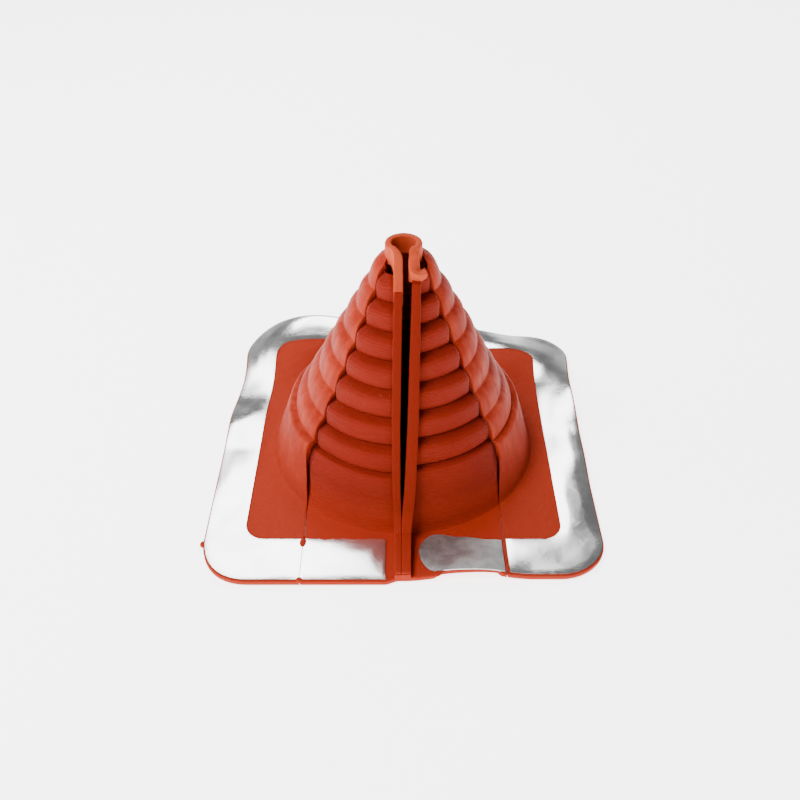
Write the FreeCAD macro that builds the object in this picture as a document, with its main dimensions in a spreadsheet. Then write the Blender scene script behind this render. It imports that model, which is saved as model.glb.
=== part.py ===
"""Split pipe flashing boot: a stepped silicone cone on a soft square flange with aluminium edge strips.

Millimetres, +Z up. The origin is on the cone's axis at the underside of the flange. The seam down the
front of the cone lies in the plane of Y and Z, on the side of negative Y. Left and right are as seen
by someone who faces the seam.
"""
import FreeCAD, Part
import math
import os
import Sketcher
from FreeCAD import Rotation, Vector

SIZES = {
    # Flange
    "base_side": 216.0,
    "base_thickness": 3.4,
    "corner_radius": 26.0,
    "lift_run": 24.0,
    "rest_flat": 0.3,
    "trim_height": 40.0,
    # Stepped cone: its rings share out the way from the first notch to the skirt
    "wall": 3.0,
    "ring_drop": 13.55,
    "nose_height": 1.4,
    "main_ring_nose": 0.45,
    "main_shoulder_run": 3.6,
    "main_shoulder_fall": 2.6,
    "panel_ring_nose": 0.9,
    "panel_shoulder_run": 4.6,
    "panel_shoulder_fall": 0.9,
    "panel_riser_start": 5.0,
    "skirt_spread": 10.5,
    "skirt_ledge": 4.6,
    "skirt_bevel": 1.8,
    "skirt_bury": 1.5,
    "foot_ledge": 2.0,
    # First notch of each moulding: radius and depth below the top, the panels' against the main one's
    "main_notch_radius": 12.75,
    "main_notch_depth": 8.3,
    "left_notch_shift": 0.15,
    "left_notch_drop": 5.1,
    "right_notch_shift": -0.45,
    "right_notch_drop": 2.1,
    # Collar and its two ears
    "total_height": 139.4,
    "bore_radius": 6.4,
    "collar_wall": 3.4,
    "throat_radius": 14.0,
    "ear_fall": 9.9,
    "ear_reach": 8.7,
    "left_ear_outer": 5.0,
    "right_ear_outer": 7.6,
    "left_ear_depth": 17.9,
    "right_ear_depth": 11.9,
    "ear_step": 0.8,
    "hook_reach": 4.7,
    "hook_depth": 3.6,
    "split_step": 1.6,
    # Joints between the mouldings: straight out from the axis past the skirt's ledge, then to the front
    "joint_half_angle": 52.0,
    "joint_turn": 1.13,
    "lap_shift": 7.0,
    "lap_thickness": 1.5,
    "lap_clearance": 0.6,
    # Seam: the slit between the two lips, at three levels
    "slit_top_depth": 14.4,
    "slit_top_left": -0.4,
    "slit_top_right": 4.2,
    "slit_middle_level": 60.0,
    "slit_middle_left": -1.7,
    "slit_middle_right": 2.0,
    "slit_close_level": 17.0,
    "slit_close_offset": -1.0,
    "seam_clearance": 0.2,
    # Seam lips
    "lip_reach": 9.2,
    "lip_height": 7.0,
    "lip_end_height": 4.0,
    "left_lip_top": -4.7,
    "left_lip_middle": -6.1,
    "left_lip_foot": -4.6,
    "right_lip_top": 8.7,
    "right_lip_middle": 7.8,
    "right_lip_foot": 3.4,
    # Aluminium strips
    "strip_thickness": 0.8,
    "strip_margin": 1.1,
    "side_strip_width": 20.6,
    "side_strip_gap": 8.4,
    "front_strip_gap": 4.0,
    "strip_inner_radius": 11.0,
    "strip_joint_gap": 1.6,
    "left_strip_end": 9.6,
    "right_strip_end": 9.6,
    "right_strip_shoulder": 16.5,
}

RING_COUNT = 7
GRID_SPANS = 10

# Sizes that follow from others, as formulas of the sheet
FOLLOWING = {
    "main_notch_level": "total_height - main_notch_depth",
    "left_notch_level": "main_notch_level - left_notch_drop",
    "right_notch_level": "main_notch_level - right_notch_drop",
    "left_notch_radius": "main_notch_radius + left_notch_shift",
    "right_notch_radius": "main_notch_radius + right_notch_shift",
    "left_ear_level": "total_height - left_ear_depth",
    "right_ear_level": "total_height - right_ear_depth",
    "slit_top_level": "total_height - slit_top_depth",
    "strip_edge": "base_side / 2 - strip_margin",
    "strip_inner_side": "strip_edge - side_strip_width",
    "skirt_radius": "strip_inner_side - side_strip_gap",
    "strip_inner_front": "skirt_radius + front_strip_gap",
    "strip_radius": "corner_radius - strip_margin",
    "ledge_radius": "skirt_radius - skirt_spread",
    "ring_step": f"(ledge_radius - skirt_ledge - main_notch_radius) / {RING_COUNT}",
    "joint_offset": "(ledge_radius + joint_turn) * sin(joint_half_angle)",
    "joint_depth": "(ledge_radius + joint_turn) * cos(joint_half_angle)",
}

# Places where the soft flange stands up from the ground: centre, reach each way and lift
LIFTS = {
    "back_arch": (-50.0, 112.0, 72.0, 72.0, 16.5),
    "back_rise": (38.0, 112.0, 46.0, 60.0, 7.5),
    "back_swell": (74.0, 80.0, 32.0, 32.0, 4.5),
    "right_swell": (114.0, 38.0, 42.0, 66.0, 8.0),
    "right_ripple": (104.0, -18.0, 30.0, 26.0, 2.6),
    "left_ripple": (-100.0, 14.0, 26.0, 26.0, 2.2),
    "front_lift": (34.0, -118.0, 34.0, 34.0, 6.0),
}
LIFT_FIELDS = ("centre_x", "centre_y", "reach_x", "reach_y", "lift")

FRONT_VIEW = Rotation(Vector(1, 0, 0), 90)
SIDE_VIEW = Rotation(Vector(1, 1, 1), 120)
PLAN_VIEW = Rotation()

doc = FreeCAD.newDocument("pipe_flashing_boot")
sheet = doc.addObject("Spreadsheet::Sheet", "Sizes")


def fill_sheet():
    """Write every driving size into its own cell, with its name as the alias."""
    cells = dict(SIZES)
    for place, numbers in LIFTS.items():
        for field, number in zip(LIFT_FIELDS, numbers):
            cells[f"{place}_{field}"] = number
    for alias, formula in FOLLOWING.items():
        cells[alias] = f"={formula}"
    for row, (alias, number) in enumerate(cells.items(), start=1):
        sheet.set(f"A{row}", alias)
        sheet.set(f"B{row}", str(number))
        sheet.setAlias(f"B{row}", alias)
    doc.recompute()


def size(expression):
    """Value of an expression on the sheet."""
    return float(sheet.evalExpression(expression))


def bind(item, **expressions):
    """Tie properties of a document object to expressions on the sheet."""
    for name, expression in expressions.items():
        item.setExpression(name, expression)
    return item


def draw(sketch, points):
    """Closed outline through points given as pairs of expressions, each corner tied to its own pair."""
    places = [Vector(size(u), size(v), 0) for u, v in points]
    following = places[1:] + places[:1]
    sketch.addGeometry([Part.LineSegment(*ends) for ends in zip(places, following)], False)
    for index in range(len(points)):
        after = (index + 1) % len(points)
        sketch.addConstraint(Sketcher.Constraint("Coincident", index, 2, after, 1))
    for index, expressions in enumerate(points):
        for kind, expression, place in zip(("DistanceX", "DistanceY"), expressions, places[index]):
            number = sketch.addConstraint(Sketcher.Constraint(kind, -1, 1, index, 1, place))
            if "Sizes" in expression:
                sketch.setExpression(f"Constraints[{number}]", expression)


def prism(name, view, points, forward, backward="0"):
    """Outline drawn in one of the three views and drawn out to both sides of its plane."""
    sketch = doc.addObject("Sketcher::SketchObject", f"{name}_outline")
    sketch.Placement = FreeCAD.Placement(Vector(), view)
    draw(sketch, points)
    solid = doc.addObject("Part::Extrusion", name)
    solid.Base = sketch
    solid.DirMode = "Normal"
    solid.Solid = True
    return bind(solid, LengthFwd=forward, LengthRev=backward)


def fuse(name, *shapes):
    joined = doc.addObject("Part::MultiFuse", name)
    joined.Shapes = list(shapes)
    joined.Refine = False
    return joined


def cut(name, base, tool):
    remainder = doc.addObject("Part::Cut", name)
    remainder.Base = base
    remainder.Tool = tool
    return remainder


def common(name, base, tool):
    overlap = doc.addObject("Part::Common", name)
    overlap.Base = base
    overlap.Tool = tool
    return overlap


def stack_outline(side, inset, bottom):
    """Half section of one moulding's stepped cone, moved in and down by inset and closed at the bottom.

    Each ring runs from its notch out over a shoulder and down to an overhanging nose, then back in to the
    next notch. The panels' rings also have an upright riser below the shoulder. A plain skirt follows the
    last notch. Inside, a ring has only its two slopes, which leaves the wall thicker behind the shoulder.
    """
    form = "main" if side == "main" else "panel"
    notch_radius = f"Sizes.{side}_notch_radius - {inset}"
    notch_level = f"Sizes.{side}_notch_level - {inset}"
    points = [("0", notch_level)]
    for ring in range(RING_COUNT):
        radius = f"{notch_radius} + {ring} * Sizes.ring_step"
        level = f"{notch_level} - {ring} * Sizes.ring_drop"
        outer = f"{radius} + Sizes.ring_step + Sizes.{form}_ring_nose"
        shoulder = (f"{radius} + Sizes.{form}_shoulder_run", f"{level} - Sizes.{form}_shoulder_fall")
        if ring:
            points.append((radius, level))
        if inset == "0" or form == "main":
            points.append(shoulder)
        if form == "panel":
            points.append((outer, f"{level} - Sizes.panel_riser_start"))
        if inset == "0":
            points.append((outer, f"{level} - Sizes.ring_drop + Sizes.nose_height"))
    radius = f"{notch_radius} + {RING_COUNT} * Sizes.ring_step"
    level = f"{notch_level} - {RING_COUNT} * Sizes.ring_drop"
    points.append((radius, level))
    points.append((f"{radius} + Sizes.skirt_ledge - Sizes.skirt_bevel", level))
    points.append((f"{radius} + Sizes.skirt_ledge", f"{level} - Sizes.skirt_bevel"))
    points.append((f"Sizes.skirt_radius - {inset}", bottom))
    points.append(("0", bottom))
    return points


def lap_outline():
    """Half section inside the bonding laps: plain slopes along the main moulding's inner side."""
    inset = "(Sizes.wall + Sizes.lap_thickness)"
    radius = f"Sizes.main_notch_radius - {inset}"
    level = f"Sizes.main_notch_level - {inset}"
    return [("0", level), (radius, level),
            (f"{radius} + {RING_COUNT} * Sizes.ring_step", f"{level} - {RING_COUNT} * Sizes.ring_drop"),
            (f"Sizes.skirt_radius - {inset}", "-2"), ("0", "-2")]


def turned(name, points):
    """Solid of revolution of a half section about the upright axis."""
    body = doc.addObject("PartDesign::Body", name)
    sketch = body.newObject("Sketcher::SketchObject", f"{name}_section")
    planes = {plane.Role: plane for plane in body.Origin.OriginFeatures}
    sketch.AttachmentSupport = [(planes["XZ_Plane"], "")]
    sketch.MapMode = "FlatFace"
    draw(sketch, points)
    revolution = body.newObject("PartDesign::Revolution", f"{name}_turned")
    revolution.Profile = sketch
    revolution.ReferenceAxis = (sketch, ["V_Axis"])
    revolution.Angle = 360
    return body


def cylinder(name, radius, height, bottom="0"):
    solid = doc.addObject("Part::Cylinder", name)
    bind(solid, Radius=radius, Height=height)
    solid.setExpression("Placement.Base.z", bottom)
    return solid


def swell(distance):
    """Smooth hump: one at the centre, nothing from one reach outward."""
    if abs(distance) >= 1:
        return 0.0
    return math.cos(math.pi * distance / 2) ** 2


def read_lifts():
    """Centre, reach and lift of every raised place, as the sheet has them."""
    return [[size(f"Sizes.{place}_{field}") for field in LIFT_FIELDS] for place in LIFTS]


def lift_at(x, y, lifts, foot, reach):
    """Height of the flange's underside above the ground: none at the skirt's foot, full past a reach."""
    height = 0.0
    for centre_x, centre_y, reach_x, reach_y, lift in lifts:
        height += lift * swell((x - centre_x) / reach_x) * swell((y - centre_y) / reach_y)
    return height * (1 - swell(max(math.hypot(x, y) - foot, 0) / reach))


def draped_sheet(name, raised, thickness):
    """Sheet that follows the flange's lifts, raised above its underside and with an even thickness."""
    half = size("Sizes.base_side") / 2 + size("Sizes.base_thickness")
    lifts = read_lifts()
    foot = size("Sizes.skirt_radius")
    reach = size("Sizes.lift_run")
    knots = [half * (2 * step / GRID_SPANS - 1) for step in range(GRID_SPANS + 1)]
    ends = [knots[0]] * 3 + knots + [knots[-1]] * 3
    ticks = [sum(ends[start:start + 3]) / 3 for start in range(1, GRID_SPANS + 4)]
    poles = [[Vector(x, y, lift_at(x, y, lifts, foot, reach) + raised) for y in ticks] for x in ticks]
    repeats = [4] + [1] * (GRID_SPANS - 1) + [4]
    surface = Part.BSplineSurface()
    surface.buildFromPolesMultsKnots(poles, repeats, repeats, knots, knots, False, False, 3, 3)
    sheet_solid = doc.addObject("Part::Feature", name)
    sheet_solid.Shape = surface.toShape().extrude(Vector(0, 0, thickness))
    sheet_solid.Placement = FreeCAD.Placement()
    return sheet_solid


def rounded_plate(name, half_x, front, back, radius, bottom="-Sizes.trim_height"):
    """Upright prism of a rectangle with rounded corners, tall enough to trim the draped sheets."""
    body = doc.addObject("PartDesign::Body", name)
    block = body.newObject("PartDesign::AdditiveBox", f"{name}_block")
    bind(block, Length=f"2 * ({half_x})", Width=f"{front} + {back}", Height="2 * Sizes.trim_height")
    block.setExpression("Placement.Base.x", f"-({half_x})")
    block.setExpression("Placement.Base.y", f"-({front})")
    block.setExpression("Placement.Base.z", bottom)
    doc.recompute()
    upright = [f"Edge{n}" for n, edge in enumerate(block.Shape.Edges, start=1)
               if abs(edge.tangentAt(edge.FirstParameter).z) > 0.99]
    rounding = body.newObject("PartDesign::Fillet", f"{name}_corners")
    rounding.Base = (block, upright)
    bind(rounding, Radius=radius)
    return body


fill_sheet()

# Regions in plan, tall enough for the whole part
HALF = "Sizes.base_side / 2"
TALL = "Sizes.total_height + 10"
PAST_EDGE = "-Sizes.base_side / 2 - 10"
JOINT = "Sizes.joint_offset"
DEPTH = "-Sizes.joint_depth"
LAP = "Sizes.lap_shift"

base_outline = rounded_plate("base_outline", HALF, HALF, HALF, "Sizes.corner_radius", "0")
base_hole = cylinder("base_hole", "Sizes.skirt_radius - Sizes.wall - Sizes.foot_ledge",
                     "2 * Sizes.trim_height", "-Sizes.trim_height")
silicone_sheet = draped_sheet("silicone_sheet", -size("Sizes.rest_flat"),
                              size("Sizes.base_thickness + Sizes.rest_flat"))
base_blank = cut("base_blank", common("base_trimmed", silicone_sheet, base_outline), base_hole)

throat = cylinder("throat", "Sizes.throat_radius", TALL)


def region(name, points, below="5"):
    """Upright prism over an outline in plan, from a depth below the ground."""
    return prism(name, PLAN_VIEW, points, TALL, below)


def mirrored(points, side):
    """Plan or front outline for the left or right side, with X changed in sign for the left."""
    if side == "right":
        return points
    return [(f"-({u})", v) for u, v in points]


front_corners = [("0", "0"), (JOINT, DEPTH), (JOINT, PAST_EDGE), (f"-{JOINT}", PAST_EDGE),
                 (f"-{JOINT}", DEPTH)]
COLLAR_BOTTOM = "Sizes.main_notch_level - Sizes.wall / 2"
SPLIT_LEFT = "Sizes.slit_top_left"
SPLIT_RIGHT = "Sizes.slit_top_right - Sizes.split_step"

# Slit between the lips, as seen from the front, cut through the front half
CLOSE_LEFT = "Sizes.slit_close_offset - Sizes.seam_clearance / 2"
CLOSE_RIGHT = "Sizes.slit_close_offset + Sizes.seam_clearance / 2"
slit_left = [("Sizes.slit_top_left", TALL), ("Sizes.slit_top_left", "Sizes.slit_top_level"),
             ("Sizes.slit_middle_left", "Sizes.slit_middle_level"),
             (CLOSE_LEFT, "Sizes.slit_close_level"), (CLOSE_LEFT, "-1")]
slit_right = [("Sizes.slit_top_right", TALL), ("Sizes.slit_top_right", "Sizes.slit_top_level"),
              ("Sizes.slit_middle_right", "Sizes.slit_middle_level"),
              (CLOSE_RIGHT, "Sizes.slit_close_level"), (CLOSE_RIGHT, "-1")]
FRONT_REACH = "Sizes.base_side / 2 + 20"

# Line of the lips' outer edges in the side view, parallel to the cone's slope
SLOPE = "Sizes.ring_step / Sizes.ring_drop"


def lip_edge(level, side):
    """Distance in front of the axis of the lips' edge line at a level."""
    start = f"Sizes.{side}_notch_radius + Sizes.lip_reach"
    return f"-({start} + (Sizes.{side}_notch_level - ({level})) * {SLOPE})"


def lip(side):
    """Standing seam lip: its side outline and its front outline, both drawn out and intersected."""
    top = f"Sizes.{side}_ear_level"
    foot = "Sizes.lip_height"
    low_level = "Sizes.base_thickness + Sizes.lip_height"
    side_points = [("-Sizes.bore_radius", top), (lip_edge(top, side), top),
                   (lip_edge(low_level, side), low_level),
                   (f"-{HALF}", "Sizes.base_thickness + Sizes.lip_end_height"),
                   (f"-{HALF}", "Sizes.skirt_bury"), ("-Sizes.bore_radius", "Sizes.skirt_bury")]
    plate = prism(f"{side}_lip_plate", SIDE_VIEW, side_points, "20", "20")
    inner = slit_left if side == "left" else slit_right
    face_points = inner + [(f"Sizes.{side}_lip_foot", "-1"), (f"Sizes.{side}_lip_foot", foot),
                           (f"Sizes.{side}_lip_middle", "Sizes.slit_middle_level"),
                           (f"Sizes.{side}_lip_top", "Sizes.slit_top_level"),
                           (f"Sizes.{side}_lip_top", TALL)]
    face = prism(f"{side}_lip_face", FRONT_VIEW, face_points, FRONT_REACH)
    return common(f"{side}_lip", plate, face)


def ear(side):
    """Forward leg of the split collar, which runs down the seam to the top of the lip."""
    collar_front = "-(Sizes.bore_radius + Sizes.collar_wall)"
    end = f"Sizes.{side}_ear_level"
    points = [("-Sizes.bore_radius / 2", "Sizes.total_height"), (collar_front, "Sizes.total_height"),
              (f"{collar_front} - Sizes.ear_reach", "Sizes.total_height - Sizes.ear_fall"),
              (f"{lip_edge(end, side)} - Sizes.ear_step", end),
              ("-Sizes.throat_radius", end), ("-Sizes.bore_radius / 2", COLLAR_BOTTOM)]
    plate = prism(f"{side}_ear_plate", SIDE_VIEW, points, "20", "20")
    if side == "left":
        inner, outer = SPLIT_LEFT, "-Sizes.left_ear_outer"
    else:
        inner, outer = SPLIT_RIGHT, "Sizes.right_ear_outer"
    face = prism(f"{side}_ear_face", FRONT_VIEW, [(inner, end), (inner, TALL), (outer, TALL), (outer, end)],
                 FRONT_REACH)
    return common(f"{side}_ear", plate, face)


def panel(side, ear_solid):
    """Front moulding beside the seam: its share of the cone, of the flange, its lip and its lap."""
    outer = turned(f"{side}_outer", stack_outline(side, "0", "Sizes.skirt_bury"))
    inner = turned(f"{side}_inner", stack_outline(side, "Sizes.wall", "-1"))
    cone = cut(f"{side}_cone", outer, inner)
    lip_on_cone = cut(f"{side}_lip_on_cone", lip(side), inner)
    full = fuse(f"{side}_full", cone, base_blank, lip_on_cone)
    across = "3" if side == "left" else "-3"
    plan = mirrored([("0", "0"), (JOINT, DEPTH), (JOINT, PAST_EDGE)], side)
    wedge = region(f"{side}_wedge", plan + [(across, PAST_EDGE), (across, "0")])
    shell = common(f"{side}_shell", full, wedge)
    far = f"-({HALF})"
    lap_plan = mirrored([(LAP, "0"), (f"{JOINT} + {LAP}", DEPTH), (f"{JOINT} + {LAP}", far),
                         (f"{JOINT} - {LAP}", far), (f"{JOINT} - {LAP}", DEPTH), (f"-{LAP}", "0")], side)
    lap_bottom = "-(Sizes.base_thickness + Sizes.lap_clearance)"
    lap_region = region(f"{side}_lap_plan", lap_plan, lap_bottom)
    lap = common(f"{side}_lap", lap_layer, lap_region)
    half_wall = turned(f"{side}_half_wall", stack_outline(side, "Sizes.wall / 2", "-1.5"))
    root = common(f"{side}_lap_root", cut(f"{side}_root_layer", half_wall, lap_core),
                  common(f"{side}_root_plan", lap_region, wedge))
    whole = cut(f"{side}_whole", fuse(f"{side}_bonded", shell, lap, root), throat)
    far = "40" if side == "left" else "-40"
    slit_points = (slit_left if side == "left" else slit_right) + [(far, "-1"), (far, TALL)]
    beyond = prism(f"{side}_beyond_seam", FRONT_VIEW, slit_points, FRONT_REACH)
    node = cut(f"seam_panel_{side}", cut(f"{side}_open", whole, beyond), ear_solid)
    node.Label = f"seam_panel_{side}"
    return node


# Main moulding: cone, flange and collar, less the front region that the panels fill
main_outer = turned("main_outer", stack_outline("main", "0", "Sizes.skirt_bury"))
main_inner = turned("main_inner", stack_outline("main", "Sizes.wall", "-1"))
lap_core = turned("lap_core", lap_outline())
lap_layer = cut("lap_layer", main_inner, lap_core)
collar = cylinder("collar", "Sizes.bore_radius + Sizes.collar_wall",
                  f"Sizes.total_height - ({COLLAR_BOTTOM})", COLLAR_BOTTOM)
bore = cylinder("bore", "Sizes.bore_radius", TALL)
back_full = fuse("back_full", cut("main_cone", main_outer, main_inner), base_blank)
main_shell = cut("main_shell", back_full, region("front_region", front_corners))
ear_left = ear("left")
HOOK_START = "Sizes.right_ear_outer - 1"
HOOK_END = "Sizes.right_ear_outer + Sizes.hook_reach"
HOOK_BACK = f"{lip_edge('Sizes.right_ear_level', 'right')} + Sizes.hook_depth"
hook_plan = region("hook_plan", [(HOOK_START, f"{HOOK_BACK} + 1"), (HOOK_END, HOOK_BACK),
                                 (HOOK_END, "-30"), (HOOK_START, "-30")])
ear_right_leg = ear("right")
ear_hook = common("ear_hook", doc.getObject("right_ear_plate"), hook_plan)
ear_right = fuse("right_ear_hooked", ear_right_leg, ear_hook)
collar_split = prism("collar_split", FRONT_VIEW,
                     [(SPLIT_LEFT, f"{COLLAR_BOTTOM} - 5"), (SPLIT_RIGHT, f"{COLLAR_BOTTOM} - 5"),
                      (SPLIT_RIGHT, TALL), (SPLIT_LEFT, TALL)], FRONT_REACH)
topped = fuse("topped", main_shell, collar, ear_left, ear_right)
boot = cut("boot_moulding", cut("bored", topped, bore), collar_split)
boot.Label = "boot_moulding"

panel_left = panel("left", ear_left)
panel_right = panel("right", ear_right)


def strips():
    """The three aluminium strips, which lie on the flange and follow its lifts."""
    top = size("Sizes.base_thickness")
    foil = draped_sheet("foil_sheet", top, size("Sizes.strip_thickness"))
    edge = "Sizes.strip_edge"
    side_line = "Sizes.strip_inner_side"
    outer = rounded_plate("strip_outer", edge, edge, edge, "Sizes.strip_radius")
    inner = rounded_plate("strip_inner", side_line, "Sizes.strip_inner_front", side_line,
                          "Sizes.strip_inner_radius")
    ring = cut("strip_ring", common("foil_trimmed", foil, outer), inner)
    gap = "Sizes.strip_joint_gap"
    front = [(f"{JOINT} + {gap}", "-20"), (f"{JOINT} + {gap}", PAST_EDGE), (f"-{JOINT} - {gap}", PAST_EDGE),
             (f"-{JOINT} - {gap}", "-20")]
    main = cut("edge_strip_main", ring, region("strip_front", front))
    main.Label = "edge_strip_main"
    left = [("-Sizes.left_strip_end", "-20"), ("-Sizes.left_strip_end - 1", PAST_EDGE),
            (f"-{JOINT} + {gap}", PAST_EDGE), (f"-{JOINT} + {gap}", "-20")]
    front_left = common("edge_strip_front_left", ring, region("strip_left", left))
    front_left.Label = "edge_strip_front_left"
    inner_line = "-Sizes.strip_inner_front"
    right = [("Sizes.right_strip_shoulder", f"{inner_line} + 1"), (f"{JOINT} - {gap}", f"{inner_line} + 1"),
             (f"{JOINT} - {gap}", PAST_EDGE), ("Sizes.right_strip_end + 5", PAST_EDGE),
             ("Sizes.right_strip_end + 3", f"{inner_line} - 20"), ("Sizes.right_strip_end", f"{inner_line} - 6")]
    front_right = common("edge_strip_front_right", ring, region("strip_right", right))
    front_right.Label = "edge_strip_front_right"
    return [main, front_left, front_right]


nodes = [boot, panel_left, panel_right] + strips()
doc.recompute()

for item in doc.Objects:
    if "Invalid" in item.State or "Error" in item.State:
        raise RuntimeError(f"{item.Name} failed to build: {item.State}")
for node in nodes:
    if node.Shape.isNull() or not node.Shape.isValid():
        raise RuntimeError(f"{node.Label} has no valid shape")
    if len(node.Shape.Solids) != 1:
        raise RuntimeError(f"{node.Label} is {len(node.Shape.Solids)} solids")

os.makedirs("parts", exist_ok=True)
for node in nodes:
    node.Shape.exportStep(f"parts/{node.Label}.step")
    box = node.Shape.BoundBox
    print(f"{node.Label}: {node.Shape.Volume / 1000:.1f} cm3, Z {box.ZMin:.2f} to {box.ZMax:.2f}")
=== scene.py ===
"""A split pipe flashing boot of red silicone, with aluminium strips on its flange.

The frame's origin is on the cone's axis at the underside of the flange, +Z is up and the seam down the
front of the cone faces -Y. Sizes are in millimetres and turned into metres where a mesh is made. The
azimuth of a place on the cone is counted from the seam towards +X.
"""

import math

import bmesh
import bpy
import numpy as np
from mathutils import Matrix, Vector


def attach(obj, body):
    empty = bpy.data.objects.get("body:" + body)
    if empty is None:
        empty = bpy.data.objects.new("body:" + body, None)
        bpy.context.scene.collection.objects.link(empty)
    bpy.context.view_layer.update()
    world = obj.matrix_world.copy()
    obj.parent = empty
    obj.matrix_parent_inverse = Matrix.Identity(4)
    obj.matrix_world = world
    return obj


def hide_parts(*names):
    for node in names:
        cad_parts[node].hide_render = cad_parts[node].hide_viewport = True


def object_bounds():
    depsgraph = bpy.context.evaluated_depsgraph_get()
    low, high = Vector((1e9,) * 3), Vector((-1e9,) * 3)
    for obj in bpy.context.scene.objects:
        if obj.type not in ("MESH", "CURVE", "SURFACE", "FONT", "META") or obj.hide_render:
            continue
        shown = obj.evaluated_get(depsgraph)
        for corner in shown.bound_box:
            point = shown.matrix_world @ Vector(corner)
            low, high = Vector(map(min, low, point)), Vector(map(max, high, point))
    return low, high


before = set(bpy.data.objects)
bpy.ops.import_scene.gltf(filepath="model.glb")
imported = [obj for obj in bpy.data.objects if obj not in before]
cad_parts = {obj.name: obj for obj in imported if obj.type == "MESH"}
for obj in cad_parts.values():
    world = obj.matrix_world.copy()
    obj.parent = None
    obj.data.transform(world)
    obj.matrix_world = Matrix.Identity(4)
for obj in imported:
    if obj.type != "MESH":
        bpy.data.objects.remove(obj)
cad_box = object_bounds()

MM = 0.001
UP = np.array([0.0, 0.0, 1.0])

# Flange
HALF = cad_box[1].x / MM
TOP = cad_box[1].z / MM
THICKNESS = 3.4
CORNER = 26.0
EDGE_ROUND = 0.9
EDGE_ROWS = 4

# Stepped cone
WALL = 3.0
RINGS = 7
RING_STEP = 7.15
RING_DROP = 13.55
# From its notch, each ring runs out and down through these points, as radius and level
MAIN_RING = [(1.4, -0.85), (2.8, -2.0), (4.1, -3.6), (5.15, -5.5), (5.95, -7.6), (6.55, -9.6), (7.0, -11.3),
             (7.25, -12.6)]
PANEL_RING = [(1.5, -0.1), (3.7, -0.45), (5.5, -1.2), (6.7, -2.4), (7.5, -4.2), (7.9, -6.6), (8.05, -9.4),
              (8.05, -12.15)]
RING_SOFTENING = 0.55
SKIRT_LEDGE = 4.6
SKIRT_ROUND = 2.2
FOOT_RADIUS = 77.2
FOOT_FILLET = 2.2
HOLE_RADIUS = 72.9
THROAT = 14.0
MAIN_NOTCH = (12.75, 131.1)

# Waves of the soft cone's surface: size, turns with the azimuth and the level, and phase
WOBBLES = [(0.22, 3.1, 0.09, 0.0), (0.14, 7.3, -0.17, 1.2), (0.1, 2.3, 0.61, 0.0)]

# Joint between the main moulding and the two seam panels: half width in front, and where it turns
JOINT_X = 54.0
JOINT_TURN_Y = 42.2
JOINT_TURN_RADIUS = math.hypot(JOINT_X, JOINT_TURN_Y)
JOINT_AZIMUTH = math.atan2(JOINT_X, JOINT_TURN_Y)

# Direction down the cone's slope and straight out of it, as radius and level
DOWN = np.array([RING_STEP, -RING_DROP]) / math.hypot(RING_STEP, RING_DROP)
OUT = np.array([RING_DROP, RING_STEP]) / math.hypot(RING_STEP, RING_DROP)

# Main moulding: where the collar seats in it, its cut ends, and how far they stay from the ears
COLLAR_SEAT = 9.2
COLLAR_SEAT_RISE = 2.4
MAIN_COLUMNS = 236
FLANGE_ROWS = 20
CUT_ROUND = 0.7
CUT_DISTANCES = [0.0, 0.12, 0.4, 0.8]
EAR_REACH = 20.0
RIGHT_EAR_CLEAR = 12.2
LEFT_EAR_CLEAR = 8.6
MAIN_LEAN = 1.5
BEAD_LEVEL = 6.6
BEAD_WIDTH = 0.75
BEAD_HEIGHT = 0.55

# Collar with its ears, as a band: centre X and Y, half width, top level and depth
COLLAR_RADIUS = 8.1
COLLAR_EDGE = 1.0
COLLAR_TURNS = (38, 60, 90, 120, 150, 180, 210, 240, 270, 300, 324)
LEFT_EAR = [(-2.75, -23.4, 2.3, 124.2, 9.0), (-2.75, -20.0, 2.4, 127.8, 11.0),
            (-2.8, -15.0, 2.4, 133.3, 12.0), (-3.05, -10.8, 2.3, 137.8, 11.0)]
RIGHT_EAR = [(5.2, -10.4, 2.6, 137.8, 11.0), (5.2, -13.2, 2.8, 135.1, 11.0), (5.9, -15.9, 3.0, 132.7, 7.0),
             (7.6, -17.1, 2.9, 131.6, 4.5), (9.4, -16.9, 2.6, 131.6, 3.4), (10.9, -16.2, 2.2, 132.0, 2.8)]

# Seam lips: levels at which each panel gives its slit edge and outer face, and the line of their edge
LIP_LEVELS = [0.0, 8.0, 17.0, 30.0, 60.0, 95.0, 125.0, 140.0]
LIP_HEIGHT = 8.1
LIP_LOW_LEVEL = 10.4
LIP_END_LEVEL = 7.4
LIP_EDGE_START = np.array([12.6, 127.4]) + OUT * LIP_HEIGHT
LIP_CORNER = LIP_EDGE_START + DOWN * ((LIP_EDGE_START[1] - LIP_LOW_LEVEL) / -DOWN[1])

# Seam panels: ring ends, bonding lap, and levels at which each gives its gap to the main moulding
RING_COLUMNS = 44
END_ROUND = 2.0
END_DISTANCES = np.array([0.0, 0.1, 0.35, 0.8, 1.4, 2.1])
LAP_CLEARANCE = 0.06
LAP_TURN = 0.11
LAP_THICKNESS = 1.6
GAP_LEVELS = [3.4, 5.0, 9.0, 16.0, 28.0, 36.0, 60.0]
PANEL_FLANGE_ROWS = 14
TORN_DEPTH = 2.2
TORN_FROM = 19.0
TORN_TO = 51.0

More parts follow.
